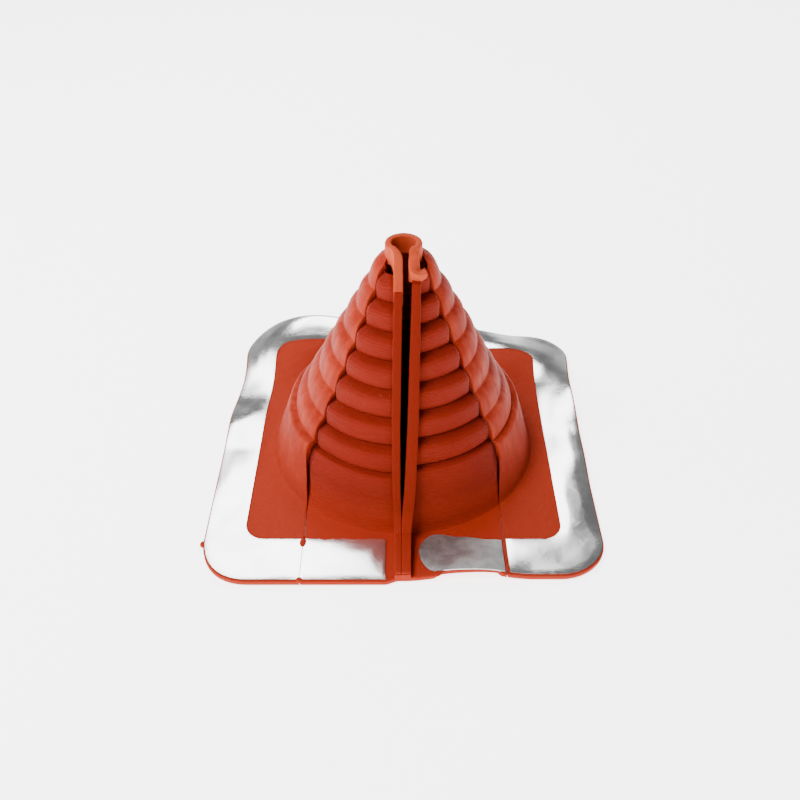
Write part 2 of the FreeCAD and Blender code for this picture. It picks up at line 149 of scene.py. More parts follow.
# Places where the soft flange stands up: centre, reach each way and lift
LIFTS = {
    "back_arch": (-50.0, 112.0, 72.0, 72.0, 16.5),
    "back_left_rise": (-78.0, 112.0, 42.0, 60.0, 4.2),
    "back_rise": (38.0, 112.0, 46.0, 60.0, 7.5),
    "back_swell": (74.0, 80.0, 32.0, 32.0, 4.5),
    "right_swell": (114.0, 38.0, 42.0, 66.0, 8.0),
    "right_ripple": (104.0, -18.0, 30.0, 26.0, 2.6),
    "left_ripple": (-100.0, 14.0, 26.0, 26.0, 2.2),
    "front_lift": (34.0, -118.0, 34.0, 34.0, 6.0),
}
LIFT_RUN = 24.0

# How far the flange's sides are pulled to the right: amount, centre and reach along Y
RIGHT_PULL = (3.8, 92.0, 50.0)
LEFT_PULL = (3.0, 62.0, 46.0)
# How far its front edge lies back on the right and is drawn out on the left
FRONT_RIGHT_BACK = 1.2
FRONT_LEFT_OUT = 2.4

# Aluminium strips
STRIP_THICKNESS = 0.8
STRIP_SINK = 0.05
STRIP_MARGIN = 1.1
STRIP_EDGE = HALF - STRIP_MARGIN
STRIP_INNER_SIDE = 86.3
STRIP_INNER_FRONT = 81.9
STRIP_INNER_CORNER = 11.0
STRIP_GAP_LEFT = 0.15
STRIP_GAP_RIGHT = 1.3
STRIP_ROWS = 14
MAIN_STRIP_COLUMNS = 300
FRONT_STRIP_COLUMNS = 50
LEFT_STRIP_END = -9.6
STRIP_CROWN_RUN = 9.0
# Dents: size, turns per millimetre along X and Y, and phase
DENTS = [(0.42, 0.031, 0.062, 0.4), (0.24, 0.073, -0.077, 1.9), (0.10, -0.151, 0.169, 3.1),
         (0.04, 0.27, 0.21, 0.9)]

# Finishes, in metres: the middle between the lips, and the band on each side that they take up
LIPS_MIDDLE = 0.0013
LIPS_BAND = (0.0078, 0.0086)

# Round patch of unlit floor under the hollow cone, in metres
SHADED_FLOOR = (0.077, 0.080)

# Camera, fitted to the photograph
CAMERA_PLACE = (-0.00188, -0.40711, 0.36757)
CAMERA_PITCH = 39.34
CAMERA_LENS = 40.2
CAMERA_SENSOR = 36

# Forms


def smooth_step(t):
    t = np.clip(t, 0.0, 1.0)
    return t * t * (3 - 2 * t)


def swell(distance):
    """Smooth hump: one at the centre, nothing from one reach outward."""
    return np.cos(np.clip(np.abs(distance), 0, 1) * math.pi / 2) ** 2


def rounding(distance, radius):
    """How far a rounded edge lies below the full surface, at a distance in from the edge."""
    missing = radius - np.minimum(distance, radius)
    return radius - np.sqrt(np.maximum(radius ** 2 - missing ** 2, 0))


def round_axis(radius, azimuth, level):
    """Points at a radius, an azimuth and a level of the cone."""
    return np.stack([radius * np.sin(azimuth), -radius * np.cos(azimuth),
                     np.broadcast_to(level, np.shape(azimuth))], -1)


def flange_lift(x, y):
    """How far the flange's underside stands off the ground."""
    height = np.zeros_like(x)
    for centre_x, centre_y, reach_x, reach_y, lift in LIFTS.values():
        height += lift * swell((x - centre_x) / reach_x) * swell((y - centre_y) / reach_y)
    return height * (1 - swell(np.maximum(np.hypot(x, y) - FOOT_RADIUS, 0) / LIFT_RUN))


def settled(x, y):
    """Plan of the handled flange: pulled to the right at the back and drawn out at the front left."""
    right, left = [amount * swell((y - centre) / reach)
                   for amount, centre, reach in (RIGHT_PULL, LEFT_PULL)]
    near_side = smooth_step((np.abs(x) - 78) / 18)
    near_front = smooth_step((-y - 84) / 20)
    along_front = np.where(x > 0, FRONT_RIGHT_BACK * smooth_step((x - 30) / 20),
                           -FRONT_LEFT_OUT * smooth_step((-2 - x) / 8))
    return x + np.where(x > 0, right, left) * near_side, y + along_front * near_front


def outline_point(azimuth, half, corner, front=None):
    """Where a ray from the axis meets a square with rounded corners."""
    direction_x, direction_y = math.sin(azimuth), -math.cos(azimuth)
    reach_y = front if front is not None and direction_y < 0 else half
    distance = min(half / max(abs(direction_x), 1e-9), reach_y / max(abs(direction_y), 1e-9))
    x, y = direction_x * distance, direction_y * distance
    centre_x, centre_y = half - corner, reach_y - corner
    if abs(x) > centre_x and abs(y) > centre_y:
        along = abs(direction_x) * centre_x + abs(direction_y) * centre_y
        gap = centre_x ** 2 + centre_y ** 2 - corner ** 2
        distance = along + math.sqrt(max(along ** 2 - gap, 0.0))
        x, y = direction_x * distance, direction_y * distance
    return x, y


def edge_rows():
    """Inset and drop of the rows that round the flange's edge over, from the top to halfway down."""
    return [(EDGE_ROUND * (1 - math.sin(angle)), EDGE_ROUND * (1 - math.cos(angle)))
            for angle in np.linspace(0, math.pi / 2, EDGE_ROWS)]


def soften(points, marked, reach):
    """Outline with each marked corner turned over three points."""
    result = []
    for index, point in enumerate(points):
        if index not in marked:
            result.append(point)
            continue
        back = points[index - 1] - point
        ahead = points[index + 1] - point
        start = point + back * min(reach / np.linalg.norm(back), 0.45)
        end = point + ahead * min(reach / np.linalg.norm(ahead), 0.45)
        result += [start, point * 0.5 + (start + end) * 0.25, end]
    return np.array(result)


def cone_section(notch, ring_form, throat, pitch=1.0):
    """Outer half section of one moulding's rings and skirt, from the throat to the skirt's foot."""
    first_radius, first_level = notch
    points = [np.array([throat, first_level])]
    marked = set()
    for ring in range(RINGS):
        start = np.array([first_radius + ring * RING_STEP * pitch, first_level - ring * RING_DROP * pitch])
        if ring:
            marked.add(len(points))
            points.append(start)
        for run, fall in ring_form:
            points.append(start + [run * pitch, fall * pitch])
        marked.add(len(points) - 1)
    radius = first_radius + RINGS * RING_STEP * pitch
    level = first_level - RINGS * RING_DROP * pitch
    marked.add(len(points))
    points.append(np.array([radius, level]))
    centre = np.array([radius + SKIRT_LEDGE - SKIRT_ROUND, level - SKIRT_ROUND])
    for angle in np.linspace(math.pi / 2, 0.25, 5):
        points.append(centre + SKIRT_ROUND * np.array([math.cos(angle), math.sin(angle)]))
    start = points[-1]
    foot = np.array([FOOT_RADIUS, THICKNESS])
    fillet_top = foot + (start - foot) / np.linalg.norm(start - foot) * FOOT_FILLET
    for step in np.linspace(0, 1, 13)[1:]:
        points.append(start + (fillet_top - start) * step)
    points.append(foot * 0.55 + fillet_top * 0.25 + (foot + [FOOT_FILLET, 0]) * 0.2)
    points.append(foot + [FOOT_FILLET, 0])
    section = soften(points, marked, RING_SOFTENING)
    section[:, 0] = np.maximum(section[:, 0], throat)
    return section


def inner_section(outer, throat):
    """Inside of the wall, one point for each point of the outer section."""
    inner = outer - WALL
    inner[:, 0] = np.maximum(inner[:, 0], throat)
    inner[-3:] = [[HOLE_RADIUS + 0.3, 0.9], [HOLE_RADIUS, 0.0], [HOLE_RADIUS + 3.0, 0.0]]
    return inner


def joint_azimuth(radius):
    """Azimuth of the joint: straight out from the axis, then straight to the front past the turn."""
    turned = np.arcsin(np.clip(JOINT_X / np.maximum(radius, JOINT_X), 0, 1))
    return np.where(radius > JOINT_TURN_RADIUS, turned, JOINT_AZIMUTH)


def hand_wobble(azimuth, level):
    """Small unevenness of the soft cone, in millimetres."""
    return sum(size * np.sin(turns * azimuth + rise * level + phase)
               for size, turns, rise, phase in WOBBLES)


def make_piece(name, points, faces, sharp=38):
    mesh = bpy.data.meshes.new(name)
    mesh.from_pydata((np.asarray(points) * MM).tolist(), [], faces)
    mesh.validate()
    mesh.update()
    mesh.shade_smooth()
    mesh.set_sharp_from_angle(angle=math.radians(sharp))
    piece = bpy.data.objects.new(name, mesh)
    bpy.context.scene.collection.objects.link(piece)
    return piece


def face_outward(piece):
    """Turn every face of a piece to the outside."""
    mesh = bmesh.new()
    mesh.from_mesh(piece.data)
    bmesh.ops.recalc_face_normals(mesh, faces=mesh.faces)
    mesh.to_mesh(piece.data)
    mesh.free()
    return piece


def closed_loft(stations, name):
    """Solid through closed loops of equal count, whose ends are closed by pairing the loop's halves."""
    count, around = stations.shape[:2]
    index = np.arange(count * around).reshape(count, around)
    here, after = index[:-1], index[1:]
    faces = np.stack([here, np.roll(here, -1, 1), np.roll(after, -1, 1), after], -1).reshape(-1, 4).tolist()
    for end, ring in ((0, index[0]), (1, index[-1])):
        mirror = ring[::-1]
        for step in range(around // 2 - 1):
            quad = [ring[step], mirror[step], mirror[step + 1], ring[step + 1]]
            faces.append([int(v) for v in (quad if end == 0 else quad[::-1])])
    return face_outward(make_piece(name, stations.reshape(-1, 3), faces))


def join(name, *pieces):
    """One object of several meshes."""
    for piece in bpy.context.selected_objects:
        piece.select_set(False)
    for piece in pieces:
        piece.select_set(True)
    bpy.context.view_layer.objects.active = pieces[0]
    bpy.ops.object.join()
    pieces[0].name = name
    pieces[0].data.name = name
    return pieces[0]


def moulding_flash(name, place, reach):
    """Small smooth drop of silicone left where two mouldings were joined."""
    mesh = bmesh.new()
    bmesh.ops.create_uvsphere(mesh, u_segments=20, v_segments=12, radius=1.0)
    for corner in mesh.verts:
        corner.co = Vector([(middle + size * part) * MM
                            for middle, size, part in zip(place, reach, corner.co)])
    data = bpy.data.meshes.new(name)
    mesh.to_mesh(data)
    mesh.free()
    data.shade_smooth()
    drop = bpy.data.objects.new(name, data)
    bpy.context.scene.collection.objects.link(drop)
    return drop


# Main moulding


def main_shell():
    """Back and sides of the cone with their part of the flange, cut off at both joints."""
    outer = cone_section(MAIN_NOTCH, MAIN_RING, COLLAR_SEAT)
    outer[0, 1] += COLLAR_SEAT_RISE
    inner = inner_section(outer, COLLAR_SEAT - 0.6)
    across = [("start", distance) for distance in CUT_DISTANCES]
    across += [("between", share) for share in np.linspace(0, 1, MAIN_COLUMNS + 2)[1:-1]]
    across += [("end", distance) for distance in reversed(CUT_DISTANCES)]
    stations = []
    for kind, value in across:
        shave = 0.0 if kind == "between" else float(rounding(value, CUT_ROUND))
        top_side = main_line(outer, kind, value, shave, True)
        under_side = main_line(inner, kind, value, 0.0, False)
        stations.append(np.concatenate([top_side, under_side[::-1]]))
    return closed_loft(np.array(stations), "main_shell")


def cut_back(radius, start, side):
    """Turn by which the main moulding's edge stays clear of the ear, at a distance to the side."""
    turned = np.arcsin(np.clip(side / radius, 0, 1)) + np.maximum(side - radius, 0) * 0.12
    return np.where(radius < EAR_REACH, np.maximum(turned - start, 0), 0)


def main_line(section, kind, value, shave, outside):
    """One line down the main moulding, at a distance from a cut end or at a share of the way between."""
    radius = section[:, 0] - shave * OUT[0]
    level = section[:, 1] - shave * OUT[1] * 0.6
    start = joint_azimuth(radius)
    right = start + cut_back(radius, start, RIGHT_EAR_CLEAR)
    left = start + cut_back(radius, start, LEFT_EAR_CLEAR)
    last_cut = CUT_DISTANCES[-1]
    if kind == "start":
        azimuth = right + value / radius
    elif kind == "end":
        azimuth = 2 * math.pi - left - value / radius
    else:
        first, last = right + last_cut / radius, 2 * math.pi - left - last_cut / radius
        azimuth = first + (last - first) * value
    if outside:
        fade = smooth_step((level - 4) / 12)
        lean = MAIN_LEAN * np.maximum(-np.sin(azimuth), 0) * smooth_step((level - 20) / 50)
        radius = radius + (hand_wobble(azimuth, level) - lean) * fade
        away_from_front = smooth_step((np.cos(azimuth) - 0.35) / 0.25)
        radius = radius + BEAD_HEIGHT * np.exp(-((level - BEAD_LEVEL) / BEAD_WIDTH) ** 2) * away_from_front
    cone = round_axis(radius, azimuth, level)
    if kind == "between":
        low = math.atan2(JOINT_X + last_cut, HALF)
        ray = low + (2 * math.pi - 2 * low) * value
        rim = [outline_point(ray, HALF - inset, CORNER - inset) for inset, drop in edge_rows()]
    else:
        x = JOINT_X + value if kind == "start" else -(JOINT_X + value)
        rim = [(x, inset - HALF) for inset, drop in edge_rows()]
    steps = np.linspace(0, 1, FLANGE_ROWS + 1)[1:-1]
    inner_end = cone[-1, :2]
    flat = inner_end + (np.array(rim[0]) - inner_end) * steps[:, None]
    plan = np.concatenate([flat, rim])
    drops = np.array([0.0] * len(flat) + [drop for inset, drop in edge_rows()])
    lift = flange_lift(plan[:, 0], plan[:, 1])
    level_out = lift + THICKNESS - drops - shave * 0.25 if outside else lift + drops
    flange = np.stack([*settled(plan[:, 0], plan[:, 1]), level_out], -1)
    return np.concatenate([cone, flange])


# Collar and its ears


def smooth_path(points, count):
    """Even points along a smooth curve through the given ones."""
    points = np.array(points, dtype=float)
    padded = np.concatenate([[2 * points[0] - points[1]], points, [2 * points[-1] - points[-2]]])
    fine = []
    for index in range(len(points) - 1):
        a, b, c, d = padded[index:index + 4]
        for t in np.linspace(0, 1, 24, endpoint=False):
            fine.append(0.5 * (2 * b + (c - a) * t + (2 * a - 5 * b + 4 * c - d) * t ** 2
                               + (3 * b - a - 3 * c + d) * t ** 3))
    fine.append(points[-1])
    fine = np.array(fine)
    run = np.concatenate([[0], np.cumsum(np.linalg.norm(np.diff(fine[:, :2], axis=0), axis=1))])
    even = np.linspace(0, run[-1], count)
    return np.stack([np.interp(even, run, fine[:, k]) for k in range(fine.shape[1])], -1)


def collar_band():
    """Split collar: a thick band from the left ear's foot, round the pipe hole, to the right ear's hook."""
    stops = list(LEFT_EAR)
    for turn in COLLAR_TURNS:
        angle = math.radians(turn)
        half_width = 1.75 + 0.25 * abs(math.cos(angle)) ** 6
        stops.append((-COLLAR_RADIUS * math.sin(angle), -COLLAR_RADIUS * math.cos(angle), half_width,
                      TOP - 0.1, 10.0))
    path = smooth_path(stops + RIGHT_EAR, 110)
    along = np.gradient(path[:, :2], axis=0)
    along /= np.linalg.norm(along, axis=1)[:, None]
    stations = []
    for (x, y, half_width, top, depth), (along_x, along_y) in zip(path, along):
        bottom = top - depth
        half = [(-half_width, bottom), (-half_width, (bottom + top - COLLAR_EDGE) / 2),
                (-half_width, top - COLLAR_EDGE),
                (-half_width + COLLAR_EDGE * 0.3, top - COLLAR_EDGE * 0.3),
                (-half_width + COLLAR_EDGE, top), (-half_width * 0.3, top + 0.06)]
        loop = half + [(-across, level) for across, level in half[::-1]]
        stations.append([(x + along_y * across, y - along_x * across, level) for across, level in loop])
    return closed_loft(np.array(stations), "collar")


# Seam panels


class SeamPanel:
    """Front panel beside the seam, with its rings, skirt and flange, its lip and the hidden bonding lap.

    Its points are worked out on the right, with X counted away from the seam, and turned to its own side
    last.
    """

    def __init__(self, side, notch, pitch, throat, lip_start, slit_line, face_line, gap_line):
        self.side = side
        self.sign = -1 if side == "left" else 1
        self.notch, self.pitch, self.throat = notch, pitch, throat
        self.lip_start = lip_start
        self.slit_line, self.face_line, self.gap_line = slit_line, face_line, gap_line

    def slit(self, level):
        """X of the lip's slit side."""
        return self.sign * np.interp(level, LIP_LEVELS, self.slit_line)

    def face(self, level):
        """X of the lip's outer side."""
        return self.sign * np.interp(level, LIP_LEVELS, self.face_line)

    def gap(self, level):
        """Width of the groove along the joint."""
        return float(np.interp(level, GAP_LEVELS, self.gap_line))

    def build(self):
        outer = cone_section(self.notch, PANEL_RING, self.throat, self.pitch)
        inner = inner_section(outer, self.throat)
        lapped = cone_section(MAIN_NOTCH, MAIN_RING, THROAT) - WALL - LAP_CLEARANCE
        loops = [self.loop(*self.cone_row(*points)) for points in zip(outer, inner, lapped)]
        rows = [(out, EDGE_ROUND, 0.0) for out in np.linspace(0, 1, PANEL_FLANGE_ROWS)[1:-1]]
        rows += [(1.0, inset, drop) for inset, drop in edge_rows()]
        loops += [self.loop(*self.flange_row(outer[-1, 0], *row)) for row in rows]
        return closed_loft(np.array(loops), f"{self.side}_panel_skin")

    def cone_row(self, top, under, lapped):
        """Outside, inside, lip edge and lap at one row of the cone."""
        radius, level = top
        under_radius, under_level = under
        on_cone = smooth_step((level - 6) / 10)
        ring_end = float(joint_azimuth(radius)) - self.gap(level) / radius - END_DISTANCES / radius
        at_lip = math.asin(np.clip(self.face(level) / radius, -1, 1))
        onward = ring_end[-1] - (ring_end[-1] - at_lip) * np.linspace(0, 1, RING_COLUMNS)[1:]
        azimuths = np.concatenate([ring_end, onward])
        shave = np.zeros(len(azimuths))
        shave[:len(END_DISTANCES)] = rounding(END_DISTANCES, END_ROUND) * on_cone * 0.9
        shaved = radius - shave * OUT[0] + hand_wobble(azimuths + 2.0 * self.sign, level) * on_cone
        ring = round_axis(shaved, azimuths, level - shave * OUT[1])
        inside = round_axis(under_radius, np.linspace(
            float(joint_azimuth(under_radius)) - 0.2 / under_radius,
            math.asin(np.clip(self.slit(under_level) / under_radius, -1, 1)), len(azimuths)), under_level)

        run = max((top - LIP_EDGE_START) @ DOWN, self.lip_start)
        corner_run = (LIP_CORNER - LIP_EDGE_START) @ DOWN
        beyond = max(run - corner_run, 0.0) * 0.25
        edge = LIP_EDGE_START + DOWN * min(run, corner_run) + [beyond, -beyond * 0.1]

        lap_radius = max(lapped[0], THROAT)
        lap_level = max(lapped[1], under_level + 0.3)
        joint = float(joint_azimuth(lap_radius))
        turns = np.array([joint + LAP_TURN * smooth_step((level - 5) / 6), joint - 0.1 / lap_radius])
        lap = round_axis(lap_radius, turns, lap_level)
        back_radius = max(min(under_radius, lap_radius - LAP_THICKNESS), THROAT)
        back_level = max(min(under_level, lap_level - 0.4), 0.0)
        lap_back = round_axis(back_radius, turns[::-1], back_level)
        return ring, inside, edge, lap, lap_back

    def flange_row(self, foot_radius, out, inset, drop):
        """Outside, inside, lip edge and lap at one row of the flange, at a share of the way out."""
        columns = RING_COLUMNS + len(END_DISTANCES) - 1
        face_x, joint_x = self.face(THICKNESS), JOINT_X - self.gap(0)
        foot = np.linspace(float(joint_azimuth(foot_radius)) - self.gap(0) / foot_radius,
                           math.asin(face_x / foot_radius), columns)
        from_x, from_y = foot_radius * np.sin(foot), -foot_radius * np.cos(foot)
        x = from_x + (np.linspace(joint_x, face_x, columns) - from_x) * out
        torn = 0.0
        if self.side == "right":
            torn = TORN_DEPTH * smooth_step((x - TORN_FROM) / 2) * smooth_step((TORN_TO - x) / 2)
        y = from_y + (inset - HALF + torn - from_y) * out
        ring = np.stack([x, y, flange_lift(x * self.sign, y) + THICKNESS - drop], -1)
        under_x = np.linspace(joint_x, self.slit(0.0), columns)
        inside = np.stack([under_x, y, flange_lift(under_x * self.sign, y) + drop], -1)

        share = np.clip((-y[-1] - LIP_CORNER[0]) / (HALF - LIP_CORNER[0]), 0, 1)
        edge = np.array([max(-y[-1], LIP_CORNER[0] + 0.4),
                         LIP_LOW_LEVEL + (LIP_END_LEVEL - LIP_LOW_LEVEL) * share - drop])
        height = ring[0, 2] - inside[0, 2]
        lap = np.array([ring[0] - UP * height * 0.45, ring[0] - UP * height * 0.2])
        lap_back = np.array([inside[0] + UP * height * 0.1, inside[0] + UP * height * 0.3])
        for part in (ring, inside, lap, lap_back):
            shifted_x, part[:, 1] = settled(part[:, 0] * self.sign, part[:, 1])
            part[:, 0] = shifted_x * self.sign
        return ring, inside, edge, lap, lap_back

    def loop(self, ring, inside, edge, lap, lap_back):
        """Closed loop round the panel: lap, outside, lip, inside and back to the lap."""
        base_out, base_level = -ring[-1, 1], ring[-1, 2]
        base_in, under = -inside[-1, 1], inside[-1, 2]
        outer_face, slit_face, top_outer, top_slit = [], [], [], []
        for share in (0.06, 0.18, 0.5, 0.8):
            level = base_level + (edge[1] - base_level) * share
            flare = 0.45 * (1 - share / 0.18) if share < 0.18 else 0.0
            outer_face.append((self.face(level) + flare, -(base_out + (edge[0] - base_out) * share), level))
            inner_share = 0.1 + 0.9 * share
            level = under + (edge[1] - under) * inner_share
            slit_face.append((self.slit(level), -(base_in + (edge[0] - base_in) * inner_share), level))
        for inward, sink in ((0.0, 0.75), (0.18, 0.2), (0.7, 0.0), (1.4, -0.02)):
            depth, level = edge - OUT * sink
            face, slit = self.face(level), self.slit(level)
            inward = min(inward, abs(face - slit) * 0.32)
            top_outer.append((face - inward, -depth, level))
            top_slit.append((slit + inward, -depth, level))
        loop = np.concatenate([lap, ring, outer_face, top_outer, top_slit[::-1], slit_face[::-1],
                               inside[::-1], lap_back])
        loop[:, 0] *= self.sign
        return loop


LEFT_PANEL = SeamPanel(
    "left", notch=(12.43, 126.9), pitch=0.985, throat=13.5, lip_start=8.5,
    slit_line=[-1.0, -1.0, -1.0, -1.6, -1.7, -1.1, -0.5, -0.4],
    face_line=[-4.6, -4.7, -5.0, -5.8, -6.1, -5.6, -4.9, -4.9],
    gap_line=[0.45, 1.3, 2.8, 1.9, 1.2, 1.9, 1.9])
RIGHT_PANEL = SeamPanel(
    "right", notch=(11.3, 130.9), pitch=0.98, throat=16.0, lip_start=4.5,
    slit_line=[-1.0, -1.0, -1.0, 0.4, 2.0, 3.1, 4.2, 4.4],
    face_line=[3.4, 3.9, 5.0, 6.4, 7.8, 8.4, 8.7, 8.7],
    gap_line=[0.45, 0.7, 0.9, 1.0, 1.3, 1.8, 1.8])


# Aluminium strips


def dents(x, y):
    """Gentle hollows and swells of handled soft sheet, in millimetres."""
    depth = np.zeros_like(x)
    for size, along_x, along_y, phase in DENTS:
        bend = 1.3 * np.sin(0.05 * x - 0.04 * y + phase)
        depth += size * np.sin(along_x * x + along_y * y + phase + bend)
    return depth


def strip_mesh(name, inner_line, outer_line):
    """Sheet strip between two lines of equal count, draped over the flange, with a turned-down edge."""
    inner_line, outer_line = np.array(inner_line), np.array(outer_line)
    shares = np.linspace(0, 1, STRIP_ROWS)
    across = outer_line - inner_line
    plan = inner_line[:, None] + across[:, None] * shares[None, :, None]
    x, y = plan[..., 0], plan[..., 1]
    from_edge = np.minimum(shares, 1 - shares)[None, :] * np.linalg.norm(across, axis=1)[:, None]
    along = np.concatenate([[0], np.cumsum(np.linalg.norm(np.diff(inner_line, axis=0), axis=1))])
    from_rim = np.minimum(from_edge, np.minimum(along, along[-1] - along)[:, None])
    base = flange_lift(x, y) + THICKNESS
    turned_down = 0.18 * (1 - smooth_step(from_rim / 1.2))
    crown = np.clip(dents(x, y) + 0.25, -0.3, 1.2) * smooth_step(from_rim / STRIP_CROWN_RUN) * 0.8
    top = base + STRIP_THICKNESS - turned_down + crown
    x, y = settled(x, y)
    upper = np.stack([x, y, top], -1)
    lower = np.stack([x, y, base - STRIP_SINK], -1)
    return closed_loft(np.concatenate([upper, lower[:, ::-1]], axis=1), name)


def main_strip():
    """The long strip round three sides, with both ends on the front edge."""
    right_end, left_end = JOINT_X + STRIP_GAP_RIGHT, JOINT_X + STRIP_GAP_LEFT
    lines = []
    for front, half, corner in ((STRIP_INNER_FRONT, STRIP_INNER_SIDE, STRIP_INNER_CORNER),
                                (STRIP_EDGE, STRIP_EDGE, CORNER - STRIP_MARGIN)):
        turns = np.linspace(math.atan2(right_end, front), 2 * math.pi - math.atan2(left_end, front),
                            MAIN_STRIP_COLUMNS)
        lines.append([outline_point(turn, half, corner, front) for turn in turns])
    return strip_mesh("main_strip_sheet", *lines)


def front_strip_left():
    """Front left strip, with a slightly wandering inner edge."""
    shares = np.linspace(0, 1, FRONT_STRIP_COLUMNS)
    start = STRIP_GAP_LEFT - JOINT_X
    x = start + (LEFT_STRIP_END - start) * shares
    wander = 0.25 * np.sin(shares * 17) + 0.15 * np.sin(shares * 41)
    return strip_mesh("left_strip_sheet", np.stack([x, wander - STRIP_INNER_FRONT], -1),
                      np.stack([x, np.full(len(x), -STRIP_EDGE)], -1))


def front_strip_right():
    """Front right strip, whose end beside the lip is cut to a blunt point."""
    end = JOINT_X - STRIP_GAP_RIGHT
    inner = [(8.2, -90.4), (9.0, -86.6), (11.2, -82.6), (13.8, -79.8)]
    outer = [(8.4, -92.4), (9.2, -96.4), (11.0, -100.8), (13.2, -103.8)]
    for share in np.linspace(0, 1, FRONT_STRIP_COLUMNS):
        inner.append((17.0 + (end - 17.0) * share, -78.6 - 4.2 * share + 0.3 * math.sin(share * 15)))
        outer.append((16.0 + (end - 16.0) * share, -STRIP_EDGE + 1.6 * (1 - share)))
    return strip_mesh("right_strip_sheet", inner, outer)


# Finishes


def feed(tree, socket, value):
    """Link an input to another node's output, or set its value."""
    if isinstance(value, bpy.types.NodeSocket):
        tree.links.new(value, socket)
    else:
        socket.default_value = value


def add_node(tree, kind, **values):
    """Shader node with its settings and inputs.

    Names with a leading _ are inputs, given a value or another node's output.
    """
    node = tree.nodes.new(kind)
    for name, value in values.items():
        if name.startswith("_"):
            feed(tree, node.inputs[name[1:].replace("_", " ")], value)
        else:
            setattr(node, name, value)
    return node


def mix_colour(tree, factor, first, second):
    """Colour between two, each a value or an output."""
    node = add_node(tree, "ShaderNodeMix", data_type="RGBA")
    for index, value in ((0, factor), (6, first), (7, second)):
        feed(tree, node.inputs[index], value)
    return node.outputs[2]


def calculate(tree, operation, *values):
    """Result of a sum on values or outputs."""
    node = add_node(tree, "ShaderNodeMath", operation=operation)
    for socket, value in zip(node.inputs, values):
        feed(tree, socket, value)
    return node.outputs["Value"]


def spread(tree, value, from_min, from_max, to_min=0.0, to_max=1.0):
    """Value carried over from one range to another."""
    return add_node(tree, "ShaderNodeMapRange", _Value=value, _From_Min=from_min, _From_Max=from_max,
                    _To_Min=to_min, _To_Max=to_max).outputs["Result"]


def noise(tree, place, scale, detail, roughness=0.5):
    return add_node(tree, "ShaderNodeTexNoise", _Vector=place, _Scale=scale, _Detail=detail,
                    _Roughness=roughness).outputs["Fac"]


def relief(tree, layers):
    """Normal of several bumps, one over the other: strength, distance and height of each."""
    normal = None
    for strength, distance, height in layers:
        bump = add_node(tree, "ShaderNodeBump", _Strength=strength, _Distance=distance, _Height=height)
        if normal:
            feed(tree, bump.inputs["Normal"], normal)
        normal = bump.outputs["Normal"]
    return normal


def new_finish(name):
    """Material, its tree, its shader and the place on the object."""
    material = bpy.data.materials.new(name)
    material.use_nodes = True
    tree = material.node_tree
    place = add_node(tree, "ShaderNodeTexCoord").outputs["Object"]
    return material, tree, tree.nodes["Principled BSDF"], place


def dust_group():
    """Mask of small pale specks in soft patches, for both finishes."""
    group = bpy.data.node_groups.new("handling_dust", "ShaderNodeTree")
    for socket in ("Speck Size", "Amount"):
        group.interface.new_socket(socket, in_out="INPUT", socket_type="NodeSocketFloat")
    group.interface.new_socket("Mask", in_out="OUTPUT", socket_type="NodeSocketFloat")
    given, result = group.nodes.new("NodeGroupInput"), group.nodes.new("NodeGroupOutput")
    place = add_node(group, "ShaderNodeTexCoord").outputs["Object"]
    cells = add_node(group, "ShaderNodeTexVoronoi", feature="F1", _Vector=place,
                     _Scale=given.outputs["Speck Size"])
    speck = spread(group, cells.outputs["Distance"], 0.16, 0.05)
    patch = spread(group, noise(group, place, 55.0, 5.0, 0.6), 0.52, 0.72)
    mask = calculate(group, "MULTIPLY", calculate(group, "MULTIPLY", speck, patch), given.outputs["Amount"])
    feed(group, result.inputs["Mask"], mask)
    return group


def dusted(tree, dust, colour, speck_size, amount, speck_colour):
    """Colour with dust over it."""
    specks = add_node(tree, "ShaderNodeGroup", node_tree=dust, _Speck_Size=speck_size, _Amount=amount)
    return mix_colour(tree, specks.outputs["Mask"], colour, speck_colour)


